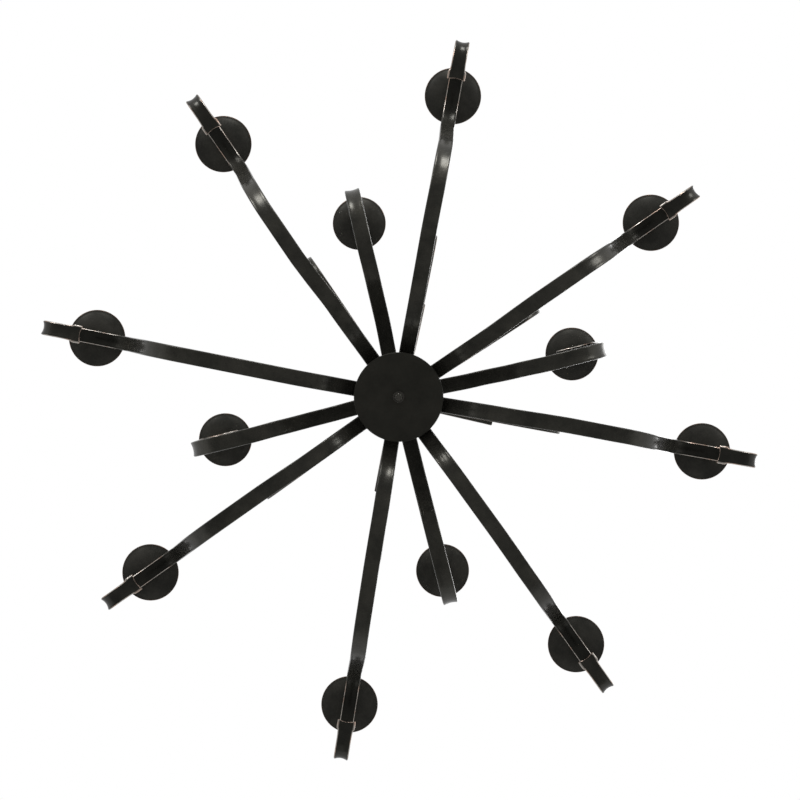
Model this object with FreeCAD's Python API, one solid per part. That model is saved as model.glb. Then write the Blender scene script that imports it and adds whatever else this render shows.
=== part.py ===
import FreeCAD, Part
import math
import os

# Two-tier chandelier of formed bronze straps. Millimetres, +Z up. The origin is the centre of the
# hanging eye, so everything below it has a negative Z. Heights called "level" are counted up from
# the lowest underside of the outer arms.

# ---- overall ----
HANG_DROP = 760.0            # hanging eye above the lowest point of the outer arms
OUTER_ARMS = 8
INNER_ARMS = 4
INNER_FIRST = 67.5           # heading of the first inner arm, in degrees
# Hand-bent straps stand a little off their even places: headings in degrees, reach in millimetres.
OUTER_LEAN = [0.2, -0.6, -0.8, -0.1, 1.2, 0.4, 0.3, 0.4]
OUTER_REACH = [1.9, -3.6, 5.8, -3.9, 0.9, 1.9, -0.8, 0.1]
INNER_LEAN = [-1.6, -1.1, -0.2, -1.5]
CROWN_LEAN = [0.3, -0.9, -1.1, -0.1, 0.9, -0.2, 0.8, 0.7]
CROWN_TWIST = [2.8, 0.3, 2.1, 0.6, 0.4, 0.5, 1.5, -0.8]

# ---- strap section: both broad faces are hollow between thick edges ----
STRAP_WIDTH = 19.0
STRAP_THICK = 5.6
STRAP_HOLLOW = 1.9           # depth of the hollow in each broad face
STRAP_EDGE = 2.2             # flat lip along each edge, beside the hollow
BRACE_THICK = 4.0            # plain strap of the crown scrolls

# ---- outer arm, as runs along its under face: straight lengths, bend radii and turns ----
TONGUE_START = 28.0
TONGUE_LENGTH = 16.0
OUTER_TONGUE_LEVEL = 90.0
OUTER_DROP_BEND = 14.0
OUTER_DROP_ANGLE = 60.0
OUTER_DROP_LENGTH = 45.4
OUTER_HEEL_RADIUS = 85.0
OUTER_HEEL_ANGLE = 55.0
OUTER_BELLY_RADIUS = 398.0
OUTER_BELLY_ANGLE = 13.0
OUTER_ELBOW_RADIUS = 110.0
OUTER_ELBOW_ANGLE = 70.0
OUTER_RISER_LENGTH = 175.0
OUTER_SHOULDER_RADIUS = 50.0
OUTER_CREST_RADIUS = 57.5
OUTER_CURL_RADIUS = 26.0
QUARTER = 90.0
VOLUTE_LENGTH = 10.3         # after the curl the strap swells a little, then spreads into two ears
VOLUTE_TURN = 8.5
VOLUTE_SWELL = 1.0           # added to the strap's width before the ears
EAR_SPREAD_LENGTH = 2.6
EAR_SPREAD_TURN = 2.2
EAR_LENGTH = 7.2
EAR_TURN = 6.0
EAR_FLARE = 4.5              # added to the strap's width by the ears

# ---- inner arm ----
INNER_FALL_RADIUS = 123.0
INNER_FALL_ANGLE = 50.0
INNER_BELLY_RADIUS = 78.0
INNER_ELBOW_RADIUS = 69.0
INNER_RISE_ANGLE = 86.9
INNER_RISER_LENGTH = 364.0
INNER_ARCH_RADIUS = 30.5
INNER_CURL_RADIUS = 24.0
INNER_EYE_RADIUS = 15.0
INNER_EYE_ANGLE = 110.0

# ---- crown scrolls: C at the bottom, straight stem up the column, flared top ----
CROWN_START = 131.0
CROWN_START_LEVEL = 274.0
CROWN_LIP_LENGTH = 40.0
CROWN_OUTER_RADIUS = 42.0
CROWN_LOWER_RADIUS = 50.0
CROWN_HEEL_RADIUS = 60.0
CROWN_FOOT_LENGTH = 42.0     # straight part of the stem, above the heel
CROWN_TWIST_LENGTH = 216.0   # part of the stem that takes up the scroll's twist about the column
CROWN_FLARE_RADIUS = 152.0
CROWN_FLARE_ANGLE = 75.0

# ---- hub ----
PLATE_RADIUS = 55.0
PLATE_LEVEL = 50.0
PLATE_THICK = 3.0
PLATE_BEVEL = 1.2
FINIAL_RADIUS = 5.6
FINIAL_NECK_RADIUS = 3.6
FINIAL_NECK_LENGTH = 3.0
FINIAL_FLANGE_LAP = 0.8
FINIAL_FLANGE_THICK = 1.2
FINIAL_STEM_LENGTH = 12.0    # threaded into the centre tube
CUP_BASE_RADIUS = 30.0
CUP_WALL = 2.0
CLAMP_RADIUS = 43.0
CLAMP_THICK = 6.0
DRUM_WALL = 4.0
DRUM_HEIGHT = 20.4           # between the outer arms' tongues and the inner arms'
TUBE_RADIUS = 6.4
TUBE_BORE = 4.4
TUBE_CLEARANCE = 0.2         # radial, wherever a piece is threaded over the centre tube
SEAT = 0.3                   # gap left between a formed piece and what it seats on

# ---- column ----
COLUMN_RADIUS = 26.7
COLUMN_WALL = 3.5
COLUMN_ABOVE_STEMS = 20.0
LOWER_BAND_RISE = 54.0       # foot of the lower band above the heel of the stems
UPPER_BAND_DROP = 38.0       # foot of the upper band below the top of the stems
BAND_HEIGHT = 16.0
BAND_WALL = 2.6
CAP_RIM = 4.0
CAP_NECK_RADIUS = 11.0
CAP_HEIGHT = 24.0
ROD_COVER_RADIUS = 9.0

# ---- hanging eye ----
EYE_BORE = 10.0
EYE_RADIUS = 15.5
EYE_THICK = 6.0
EYE_BOSS_RADIUS = 10.0
EYE_BOSS_TOP = -13.0
EYE_BOSS_BOTTOM = -42.0
EYE_SOCKET_DEPTH = 16.0

# ---- lamps ----
PAN_RADIUS = 38.0
PAN_DEPTH = 11.0
PAN_WALL = 1.4
PAN_FLOOR = 15.0             # radius of the pan's flat floor
COLLAR_CLEARANCE = 0.3
COLLAR_WALL = 1.2
COLLAR_HEIGHT = 5.0
NIPPLE_RADIUS = 4.8
NIPPLE_CLEARANCE = 0.25
NIPPLE_ABOVE = 30.0
SLEEVE_RADIUS = 12.0
SLEEVE_WALL = 1.4
SLEEVE_LENGTH = 96.0
SOCKET_CLEARANCE = 0.5
SOCKET_LENGTH = 40.0
BASE_RADIUS = 6.0
BASE_LENGTH = 24.0
BULB_NECK_RADIUS = 7.6
BULB_RADIUS = 17.0
BULB_BELLY = 26.0            # from the neck up to the middle of the belly
BULB_TIP_RADIUS = 2.2
BULB_LENGTH = 88.0
CUT_OVERRUN = 10.0           # how far a drill runs past the metal that it cuts

# ---- what follows from these sizes ----
INNER_TONGUE_LEVEL = OUTER_TONGUE_LEVEL + STRAP_THICK + DRUM_HEIGHT
LOWER_CLAMP_BOTTOM = OUTER_TONGUE_LEVEL - CLAMP_THICK
UPPER_CLAMP_BOTTOM = INNER_TONGUE_LEVEL + STRAP_THICK
TUBE_HOLE = TUBE_RADIUS + TUBE_CLEARANCE
STEM_FACE = COLUMN_RADIUS + SEAT + BRACE_THICK
HEEL_LEVEL = CROWN_START_LEVEL - CROWN_OUTER_RADIUS - CROWN_LOWER_RADIUS + CROWN_HEEL_RADIUS
STEM_TOP_LEVEL = HEEL_LEVEL + CROWN_FOOT_LENGTH + CROWN_TWIST_LENGTH
COLUMN_TOP_LEVEL = STEM_TOP_LEVEL + COLUMN_ABOVE_STEMS
OUTER_HEADINGS = [i * 360 / OUTER_ARMS + OUTER_LEAN[i] for i in range(OUTER_ARMS)]
INNER_HEADINGS = [INNER_FIRST + i * 360 / INNER_ARMS + INNER_LEAN[i] for i in range(INNER_ARMS)]


def level(height):
    """Z of a height counted from the lowest underside."""
    return height - HANG_DROP


def along(heading):
    """Unit vector in the XZ plane at an angle above +X."""
    angle = math.radians(heading)
    return FreeCAD.Vector(math.cos(angle), 0, math.sin(angle))


def polygon(points):
    """Closed list of straight edges through the given points."""
    pairs = zip(points, points[1:] + points[:1])
    return [Part.LineSegment(a, b).toShape() for a, b in pairs]


def moved(edges, vector):
    copies = [edge.copy() for edge in edges]
    for edge in copies:
        edge.translate(vector)
    return copies


def turned(edges, centre, angle):
    copies = [edge.copy() for edge in edges]
    for edge in copies:
        edge.rotate(centre, FreeCAD.Vector(0, -1, 0), angle)
    return copies


def about_z(shape, angle):
    copy = shape.copy()
    copy.rotate(FreeCAD.Vector(0, 0, 0), FreeCAD.Vector(0, 0, 1), angle)
    return copy


def end_face(outline):
    return Part.Face(Part.Wire(Part.__sortEdges__(outline)))


def spun_edges(edges):
    return end_face(edges).revolve(FreeCAD.Vector(0, 0, 0), FreeCAD.Vector(0, 0, 1), 360)


def spun(corners):
    """Solid turned about the Z axis from (radius, z) corners."""
    return spun_edges(polygon([FreeCAD.Vector(r, 0, z) for r, z in corners]))


def ring(outer, inner, bottom, top):
    return spun([(inner, bottom), (outer, bottom), (outer, top), (inner, top)])


def drum(radius, bottom, top):
    return Part.makeCylinder(radius, top - bottom, FreeCAD.Vector(0, 0, bottom))


def save(name, shapes):
    shape = shapes[0] if len(shapes) == 1 else Part.makeCompound(shapes)
    for solid in shape.Solids:
        if not solid.isValid() or solid.Volume <= 0:
            print("BAD SOLID", name, solid.Volume)
    shape.exportStep(os.path.join("parts", name + ".step"))


# ---- straps ----
def side_edges(lip, half):
    """The lip, rim and lip of one thick edge, from the lower hollow to the upper one."""
    corners = [
        FreeCAD.Vector(0, lip, 0),
        FreeCAD.Vector(0, half, 0),
        FreeCAD.Vector(0, half, STRAP_THICK),
        FreeCAD.Vector(0, lip, STRAP_THICK),
    ]
    return [Part.LineSegment(a, b).toShape() for a, b in zip(corners, corners[1:])]


def hollow_section(width):
    """Strap section at x = 0: across is Y, the strap's thickness goes up from z = 0."""
    half = width / 2
    lip = half - STRAP_EDGE
    lower = [FreeCAD.Vector(0, lip, 0), FreeCAD.Vector(0, 0, STRAP_HOLLOW), FreeCAD.Vector(0, -lip, 0)]
    upper = [FreeCAD.Vector(0, p.y, STRAP_THICK - p.z) for p in reversed(lower)]
    edges = [Part.Arc(*lower).toShape()]
    edges += side_edges(-lip, -half)
    edges.append(Part.Arc(*upper).toShape())
    edges += side_edges(lip, half)
    return edges


def plain_section(width):
    """Flat strap section at x = 0."""
    half = width / 2
    corners = [(-half, 0), (half, 0), (half, BRACE_THICK), (-half, BRACE_THICK)]
    return polygon([FreeCAD.Vector(0, y, z) for y, z in corners])


def strap_runs(outline, place, heading, runs):
    """Side faces of a strap bent in the XZ plane, and where it ends. A run is (length,) or
    (radius, turn), and a turn to the left (up) counts as positive."""
    faces = []
    for run in runs:
        if len(run) == 1:
            step = along(heading) * run[0]
            faces += [edge.extrude(step) for edge in outline]
            outline = moved(outline, step)
            place = place + step
            continue
        radius, turn = run
        centre = place + along(heading + QUARTER) * math.copysign(radius, turn)
        faces += [edge.revolve(centre, FreeCAD.Vector(0, -1, 0), turn) for edge in outline]
        outline = turned(outline, centre, turn)
        heading += turn
        place = centre - along(heading + QUARTER) * math.copysign(radius, turn)
    return faces, outline, place, heading


def sewn(faces):
    shell = Part.Shell(faces)
    shell.sewShape()
    solid = Part.Solid(shell)
    if solid.Volume < 0:
        solid.reverse()
    return solid


def end_of(runs, start_level):
    """Place of the under face at the end of the runs, as (radius, level)."""
    place = FreeCAD.Vector(TONGUE_START, 0, start_level)
    end = strap_runs([], place, 0.0, runs)[2]
    return end.x, end.z


def arm(start_level, to_crest, beyond, flares=()):
    """Hollow-faced strap from the clamp plates, bored for the lamp's nipple at its crest. Each flare
    is (length, turn, width) and widens the strap to that width."""
    place = FreeCAD.Vector(TONGUE_START, 0, level(start_level))
    first = moved(hollow_section(STRAP_WIDTH), place)
    faces, outline, place, heading = strap_runs(first, place, 0.0, to_crest + beyond)
    for length, turn, width in flares:
        place = place + along(heading + turn / 2) * length
        heading += turn
        wider = turned(moved(hollow_section(width), place), place, heading)
        faces += [Part.makeRuledSurface(a, b) for a, b in zip(outline, wider)]
        outline = wider
    radius, crest = end_of(to_crest, start_level)
    reach = STRAP_THICK + CUT_OVERRUN
    hole = drum(NIPPLE_RADIUS + NIPPLE_CLEARANCE, level(crest) - reach, level(crest) + reach)
    hole.translate(FreeCAD.Vector(radius, 0, 0))
    return sewn([end_face(first)] + faces + [end_face(outline)]).cut(hole).Solids[0]


# ---- arms ----
BELLY_ENTRY = OUTER_DROP_ANGLE - OUTER_HEEL_ANGLE     # below level
BELLY_EXIT = OUTER_BELLY_ANGLE - BELLY_ENTRY          # above level


def outer_to_crest(reach):
    """Runs of an outer arm up to its crest, which stands out by reach on a longer or shorter belly."""
    spread = math.sin(math.radians(BELLY_ENTRY)) + math.sin(math.radians(BELLY_EXIT))
    return [
        (TONGUE_LENGTH,),
        (OUTER_DROP_BEND, -OUTER_DROP_ANGLE),
        (OUTER_DROP_LENGTH,),
        (OUTER_HEEL_RADIUS, OUTER_HEEL_ANGLE),
        (OUTER_BELLY_RADIUS + reach / spread, OUTER_BELLY_ANGLE),
        (OUTER_ELBOW_RADIUS, OUTER_ELBOW_ANGLE),
        (OUTER_RISER_LENGTH,),
        (OUTER_SHOULDER_RADIUS, -BELLY_EXIT - OUTER_ELBOW_ANGLE),
    ]


OUTER_CURL = [
    (OUTER_CREST_RADIUS, -QUARTER),
    (OUTER_CURL_RADIUS, -QUARTER),
]
VOLUTE = [
    (VOLUTE_LENGTH, -VOLUTE_TURN, STRAP_WIDTH + VOLUTE_SWELL),
    (EAR_SPREAD_LENGTH, -EAR_SPREAD_TURN, STRAP_WIDTH + EAR_FLARE),
    (EAR_LENGTH, -EAR_TURN, STRAP_WIDTH + EAR_FLARE),
]
INNER_TO_CREST = [
    (TONGUE_LENGTH,),
    (INNER_FALL_RADIUS, -INNER_FALL_ANGLE),
    (INNER_BELLY_RADIUS, INNER_FALL_ANGLE),
    (INNER_ELBOW_RADIUS, INNER_RISE_ANGLE),
    (INNER_RISER_LENGTH,),
    (INNER_ARCH_RADIUS, 2 * QUARTER - INNER_RISE_ANGLE),
]
INNER_CURL = [
    (INNER_CURL_RADIUS, QUARTER),
    (INNER_EYE_RADIUS, INNER_EYE_ANGLE),
]


def make_arms():
    for i, heading in enumerate(OUTER_HEADINGS):
        outer = arm(OUTER_TONGUE_LEVEL, outer_to_crest(OUTER_REACH[i]), OUTER_CURL, VOLUTE)
        save("outer_arm_%d" % (i + 1), [about_z(outer, heading)])
    inner = arm(INNER_TONGUE_LEVEL, INNER_TO_CREST, INNER_CURL)
    for i, heading in enumerate(INNER_HEADINGS):
        save("inner_arm_%d" % (i + 1), [about_z(inner, heading)])


# ---- hub ----
def make_hub():
    top = level(PLATE_LEVEL + PLATE_THICK)
    bottom = level(PLATE_LEVEL)
    plate = spun([
        (TUBE_HOLE, bottom),
        (PLATE_RADIUS - PLATE_BEVEL, bottom),
        (PLATE_RADIUS, bottom + PLATE_BEVEL),
        (PLATE_RADIUS, top),
        (TUBE_HOLE, top),
    ])
    save("bottom_plate", [plate])
    ball = Part.makeSphere(FINIAL_RADIUS)
    ball.translate(FreeCAD.Vector(0, 0, bottom - FINIAL_NECK_LENGTH - FINIAL_RADIUS))
    neck = drum(FINIAL_NECK_RADIUS, bottom - FINIAL_NECK_LENGTH - FINIAL_RADIUS, bottom)
    flange = drum(TUBE_HOLE + FINIAL_FLANGE_LAP, bottom - FINIAL_FLANGE_THICK, bottom)
    stem = drum(TUBE_BORE - TUBE_CLEARANCE, bottom, bottom + FINIAL_STEM_LENGTH)
    save("bottom_finial", [ball.fuse([neck, flange, stem]).removeSplitter().Solids[0]])
    rim = level(LOWER_CLAMP_BOTTOM)
    cup_rim = CLAMP_RADIUS - CUP_WALL
    cup = spun([
        (TUBE_HOLE, top),
        (CUP_BASE_RADIUS, top),
        (cup_rim, rim),
        (cup_rim - CUP_WALL, rim),
        (CUP_BASE_RADIUS - CUP_WALL, top + CUP_WALL),
        (TUBE_HOLE, top + CUP_WALL),
    ])
    save("hub_cup", [cup])
    tongue_foot = level(OUTER_TONGUE_LEVEL)
    save("lower_clamp_plate", [ring(CLAMP_RADIUS, TUBE_HOLE, rim, tongue_foot)])
    drum_top = level(INNER_TONGUE_LEVEL)
    wall_inside = CLAMP_RADIUS - DRUM_WALL
    save("wiring_drum", [ring(CLAMP_RADIUS, wall_inside, tongue_foot + STRAP_THICK, drum_top)])
    upper = level(UPPER_CLAMP_BOTTOM)
    save("upper_clamp_plate", [ring(CLAMP_RADIUS, TUBE_HOLE, upper, upper + CLAMP_THICK)])
    tube_top = EYE_BOSS_BOTTOM + EYE_SOCKET_DEPTH
    save("centre_tube", [ring(TUBE_RADIUS, TUBE_BORE, bottom, tube_top)])


# ---- column ----
def make_column():
    foot = level(UPPER_CLAMP_BOTTOM + CLAMP_THICK)
    top = level(COLUMN_TOP_LEVEL)
    save("column_body", [ring(COLUMN_RADIUS, COLUMN_RADIUS - COLUMN_WALL, foot, top)])
    band_inner = math.hypot(STEM_FACE, STRAP_WIDTH / 2) + SEAT
    lower_band = level(HEEL_LEVEL + LOWER_BAND_RISE)
    upper_band = level(STEM_TOP_LEVEL - UPPER_BAND_DROP)
    save("lower_band", [ring(band_inner + BAND_WALL, band_inner, lower_band, lower_band + BAND_HEIGHT)])
    save("upper_band", [ring(band_inner + BAND_WALL, band_inner, upper_band, upper_band + BAND_HEIGHT)])
    cap = spun([
        (TUBE_HOLE, top),
        (COLUMN_RADIUS, top),
        (COLUMN_RADIUS, top + CAP_RIM),
        (CAP_NECK_RADIUS, top + CAP_HEIGHT),
        (TUBE_HOLE, top + CAP_HEIGHT),
    ])
    save("column_cap", [cap])
    save("rod_cover", [ring(ROD_COVER_RADIUS, TUBE_HOLE, top + CAP_HEIGHT, EYE_BOSS_BOTTOM)])


# ---- crown scrolls ----
def crown_scroll(twist):
    """Plain strap: C, heel, and a stem that twists about the column before its top flares out."""
    reach = CROWN_START + CROWN_LIP_LENGTH + CROWN_OUTER_RADIUS - CROWN_LOWER_RADIUS
    lower_runs = [
        (CROWN_LIP_LENGTH,),
        (CROWN_OUTER_RADIUS, -QUARTER),
        (CROWN_LOWER_RADIUS, -QUARTER),
        (reach - STEM_FACE - CROWN_HEEL_RADIUS,),
        (CROWN_HEEL_RADIUS, -QUARTER),
        (CROWN_FOOT_LENGTH,),
    ]
    place = FreeCAD.Vector(CROWN_START, 0, level(CROWN_START_LEVEL))
    first = moved(plain_section(STRAP_WIDTH), place)
    faces, foot, place, heading = strap_runs(first, place, 0.0, lower_runs)
    rise = along(heading) * CROWN_TWIST_LENGTH
    head = moved(foot, rise)
    flare = strap_runs(head, place + rise, heading, [(CROWN_FLARE_RADIUS, -CROWN_FLARE_ANGLE)])
    head = [about_z(edge, twist) for edge in head]
    faces += [Part.makeRuledSurface(a, b) for a, b in zip(foot, head)]
    faces += [about_z(face, twist) for face in flare[0]]
    last = [about_z(edge, twist) for edge in flare[1]]
    return sewn([end_face(first)] + faces + [end_face(last)])


def make_crown():
    for i, twist in enumerate(CROWN_TWIST):
        heading = i * 360 / OUTER_ARMS + CROWN_LEAN[i]
        save("crown_scroll_%d" % (i + 1), [about_z(crown_scroll(twist), heading)])


# ---- hanging eye ----
def make_eye():
    along_y = FreeCAD.Vector(0, 1, 0)
    front = FreeCAD.Vector(0, -EYE_THICK / 2, 0)
    disc = Part.makeCylinder(EYE_RADIUS, EYE_THICK, front, along_y)
    boss = drum(EYE_BOSS_RADIUS, EYE_BOSS_BOTTOM, EYE_BOSS_TOP)
    bore = Part.makeCylinder(EYE_BORE, EYE_THICK, front, along_y)
    reach = EYE_BOSS_RADIUS + CUT_OVERRUN
    room = Part.makeCylinder(EYE_BORE, 2 * reach, FreeCAD.Vector(0, -reach, 0), along_y)
    socket = drum(TUBE_HOLE, EYE_BOSS_BOTTOM, EYE_BOSS_BOTTOM + EYE_SOCKET_DEPTH)
    eye = disc.fuse(boss.cut(room)).cut(bore).cut(socket).removeSplitter()
    save("hanging_eye", [eye.Solids[0]])


# ---- lamps ----
def arc_about(centre_z, start, end):
    """Arc from start to end about a centre on the Z axis, so that it spins into part of a sphere."""
    centre = FreeCAD.Vector(0, 0, centre_z)
    middle = (start - centre).normalize() + (end - centre).normalize()
    return Part.Arc(start, centre + middle.normalize() * (start - centre).Length, end).toShape()


def drip_pan():
    """Dish, convex below, with a flat floor round the nipple and a collar round the sleeve's foot."""
    hole = NIPPLE_RADIUS + NIPPLE_CLEARANCE
    collar = SLEEVE_RADIUS + COLLAR_CLEARANCE
    collar_top = PAN_WALL + COLLAR_HEIGHT
    rise = PAN_DEPTH - PAN_WALL
    centre_height = (PAN_RADIUS**2 + rise**2 - PAN_FLOOR**2) / (2 * rise)
    corners = [
        (PAN_RADIUS, rise),
        (PAN_RADIUS, PAN_DEPTH),
        (PAN_FLOOR, PAN_WALL),
        (collar + COLLAR_WALL, PAN_WALL),
        (collar + COLLAR_WALL, collar_top),
        (collar, collar_top),
        (collar, PAN_WALL),
        (hole, PAN_WALL),
        (hole, 0),
        (PAN_FLOOR, 0),
    ]
    points = [FreeCAD.Vector(r, 0, z) for r, z in corners]
    edges = [Part.LineSegment(a, b).toShape() for a, b in zip(points, points[1:])]
    edges.append(arc_about(centre_height, points[-1], points[0]))
    return spun_edges(edges)


def tangent_from(point, centre_z, radius):
    """Where a line from a point on the neck touches a sphere's outline above it."""
    centre = FreeCAD.Vector(0, 0, centre_z)
    gap = point - centre
    bearing = math.atan2(gap.z, gap.x) + math.acos(radius / gap.Length)
    return centre + FreeCAD.Vector(math.cos(bearing), 0, math.sin(bearing)) * radius


def bulb():
    """Candle bulb: screw base, cone up to a round belly, and a long cone up to a small round tip."""
    belly_z = BASE_LENGTH + BULB_BELLY
    tip_z = BASE_LENGTH + BULB_LENGTH - BULB_TIP_RADIUS
    slope = math.asin((BULB_RADIUS - BULB_TIP_RADIUS) / (tip_z - belly_z))
    outward = FreeCAD.Vector(math.cos(slope), 0, math.sin(slope))
    neck = FreeCAD.Vector(BULB_NECK_RADIUS, 0, BASE_LENGTH)
    belly_low = tangent_from(neck, belly_z, BULB_RADIUS)
    belly_high = FreeCAD.Vector(0, 0, belly_z) + outward * BULB_RADIUS
    tip_low = FreeCAD.Vector(0, 0, tip_z) + outward * BULB_TIP_RADIUS
    tip = FreeCAD.Vector(0, 0, BASE_LENGTH + BULB_LENGTH)
    base = [FreeCAD.Vector(r, 0, z) for r, z in [(0, 0), (BASE_RADIUS, 0), (BASE_RADIUS, BASE_LENGTH)]]
    pairs = [(tip, base[0]), (base[0], base[1]), (base[1], base[2]), (base[2], neck), (neck, belly_low)]
    pairs.append((belly_high, tip_low))
    edges = [Part.LineSegment(a, b).toShape() for a, b in pairs]
    edges.append(arc_about(belly_z, belly_low, belly_high))
    edges.append(arc_about(tip_z, tip_low, tip))
    return spun_edges(edges)


def lamp_place(shape, radius, base, angle):
    """A lamp piece made round the Z axis from z = 0, stood on its arm."""
    copy = shape.copy()
    copy.translate(FreeCAD.Vector(radius, 0, base))
    return about_z(copy, angle)


def make_lamps():
    sleeve_bore = SLEEVE_RADIUS - SLEEVE_WALL
    sleeve = ring(SLEEVE_RADIUS, sleeve_bore, PAN_WALL, PAN_WALL + SLEEVE_LENGTH)
    socket_foot = PAN_WALL + NIPPLE_ABOVE
    socket = drum(sleeve_bore - SOCKET_CLEARANCE, socket_foot, socket_foot + SOCKET_LENGTH)
    # The nipple's lower end is peened flush in the hollow under the strap.
    nipple = drum(NIPPLE_RADIUS, STRAP_HOLLOW - STRAP_THICK, socket_foot)
    lamp = bulb()
    lamp.translate(FreeCAD.Vector(0, 0, socket_foot + SOCKET_LENGTH + SEAT))
    pan = drip_pan()
    places = []
    names = []
    for i, heading in enumerate(OUTER_HEADINGS):
        radius, crest = end_of(outer_to_crest(OUTER_REACH[i]), OUTER_TONGUE_LEVEL)
        places.append((radius, level(crest + STRAP_THICK), heading))
        names.append("outer_%d" % (i + 1))
    for i, heading in enumerate(INNER_HEADINGS):
        radius, crest = end_of(INNER_TO_CREST, INNER_TONGUE_LEVEL)
        places.append((radius, level(crest), heading))
        names.append("inner_%d" % (i + 1))
    for name, place in zip(names, places):
        save("drip_pan_" + name, [lamp_place(pan, *place)])
        save("bulb_" + name, [lamp_place(lamp, *place)])
    save("candle_sleeves", [lamp_place(sleeve, *place) for place in places])
    save("lamp_sockets", [lamp_place(socket, *place) for place in places])
    save("lamp_nipples", [lamp_place(nipple, *place) for place in places])


os.makedirs("parts", exist_ok=True)
make_arms()
make_hub()
make_column()
make_crown()
make_eye()
make_lamps()
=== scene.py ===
import bmesh
import bpy
import math
from mathutils import Matrix, Vector


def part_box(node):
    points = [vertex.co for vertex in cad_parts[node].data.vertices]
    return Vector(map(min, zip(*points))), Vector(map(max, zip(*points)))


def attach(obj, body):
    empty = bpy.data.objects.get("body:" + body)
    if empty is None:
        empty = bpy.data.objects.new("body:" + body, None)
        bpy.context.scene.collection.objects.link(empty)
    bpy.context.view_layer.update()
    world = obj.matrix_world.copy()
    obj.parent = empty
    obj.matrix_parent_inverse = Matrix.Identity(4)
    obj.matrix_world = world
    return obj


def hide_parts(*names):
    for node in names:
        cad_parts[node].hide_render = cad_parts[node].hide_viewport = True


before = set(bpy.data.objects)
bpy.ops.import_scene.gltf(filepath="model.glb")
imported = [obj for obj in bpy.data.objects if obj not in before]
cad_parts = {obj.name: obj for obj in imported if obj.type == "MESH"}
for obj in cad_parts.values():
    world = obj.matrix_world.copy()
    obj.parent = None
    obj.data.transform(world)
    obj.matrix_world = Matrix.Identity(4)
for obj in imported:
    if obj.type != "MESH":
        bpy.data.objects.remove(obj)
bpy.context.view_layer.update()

# ---- Outer arms -------------------------------------------------------------------------------
# Eight bars of solid strap, rolled hollow on both broad faces and bent cold in one plane: down out
# of the hub, along a long belly, up a steep riser, over the crest and back in a flared scroll end.
MM = 0.001
STRAP_WIDTH = 19.0 * MM
STRAP_THICK = 5.6 * MM
STRAP_HOLLOW = 1.1 * MM       # depth of the hollow on the belly and all along an inner arm
DEEPER = 1.2                  # factor on an outer arm's hollows at each third of its crest's far side
STRAP_LIP = 1.6 * MM          # width of the rounded lip along each edge
LIP_FOOT_WEAR = 0.35          # edge wear where a lip meets the hollow
HOLLOW_STEPS = 8
LIP_STEPS = 8
BEND_STEP = math.radians(4.0)
TONGUE_START = 28.0 * MM
TONGUE_LENGTH = 16.0 * MM
OUTER_TONGUE_Z = -670.0 * MM
OUTER_BELLY_RADIUS = 398.0 * MM
OUTER_CREST = 412.7 * MM      # how far out the lamp stands with that belly
BELLY_SPREAD = math.sin(math.radians(5.0)) + math.sin(math.radians(8.0))
VOLUTE_RADIUS = 69.0 * MM     # bend of the scroll's last length, which swells and spreads into ears
VOLUTE_STEPS = [              # (turn in degrees, width)
    (-3.0, 19.2 * MM), (-2.8, 19.5 * MM), (-2.7, 20.0 * MM), (-0.9, 21.3 * MM), (-0.7, 22.6 * MM),
    (-0.6, 23.4 * MM), (-2.0, 23.7 * MM), (-2.0, 23.7 * MM), (-2.0, 23.4 * MM),
]
EAR_SHARE = 0.38              # share of the width beyond which an ear is rubbed bright
EAR_SWELL = 2.0 * MM          # how much wider than the strap an ear is when its wear begins
EAR_WEAR = 0.95
FISHTAIL = 1.8 * MM           # how far the ears stand out past the middle of the cut end
END_ROUND = 1.1 * MM
END_WEAR = 0.69               # edge wear of a cut end
END_COPPER = 0.45             # share of copper in the bare metal there


def strap_outline(thick, hollow, lip):
    """Once round a strap's section, as (across, up, edge wear): hollow, rounded lip, hollow, lip."""
    inner = STRAP_WIDTH / 2 - lip
    side = []
    for i in range(HOLLOW_STEPS + 1):
        share = 2 * i / HOLLOW_STEPS - 1
        wear = 0.0 if 0 < i < HOLLOW_STEPS else LIP_FOOT_WEAR
        side.append((share * inner, hollow * (1 - share * share), wear))
    for i in range(1, LIP_STEPS):
        angle = math.pi * i / LIP_STEPS
        up = thick / 2 * (1 - math.cos(angle))
        side.append((inner + lip * math.sin(angle), up, math.sin(angle) ** 0.5))
    return side + [(-across, thick - up, wear) for across, up, wear in side]


def ring_verts(edges):
    """The vertices of an open end."""
    return list({vert for edge in edges for vert in edge.verts})


def go_on(bm, edges):
    """Extrudes the open end of a strap and gives the new end's edges."""
    made = bmesh.ops.extrude_edge_only(bm, edges=edges)["geom"]
    return [item for item in made if isinstance(item, bmesh.types.BMEdge) and item.is_boundary]


def along(heading):
    """Unit vector in the XZ plane at an angle above X."""
    return Vector((math.cos(heading), 0, math.sin(heading)))


def deepen(edges, place, heading, thick, factor):
    """Sinks both hollows of a strap's open end by a factor."""
    normal = along(heading + math.pi / 2)
    for vert in ring_verts(edges):
        if abs(vert.co.y) < STRAP_WIDTH / 2 - STRAP_LIP:
            up = (vert.co - place).dot(normal)
            vert.co += normal * (up if up < thick / 2 else up - thick) * (factor - 1)


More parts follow.
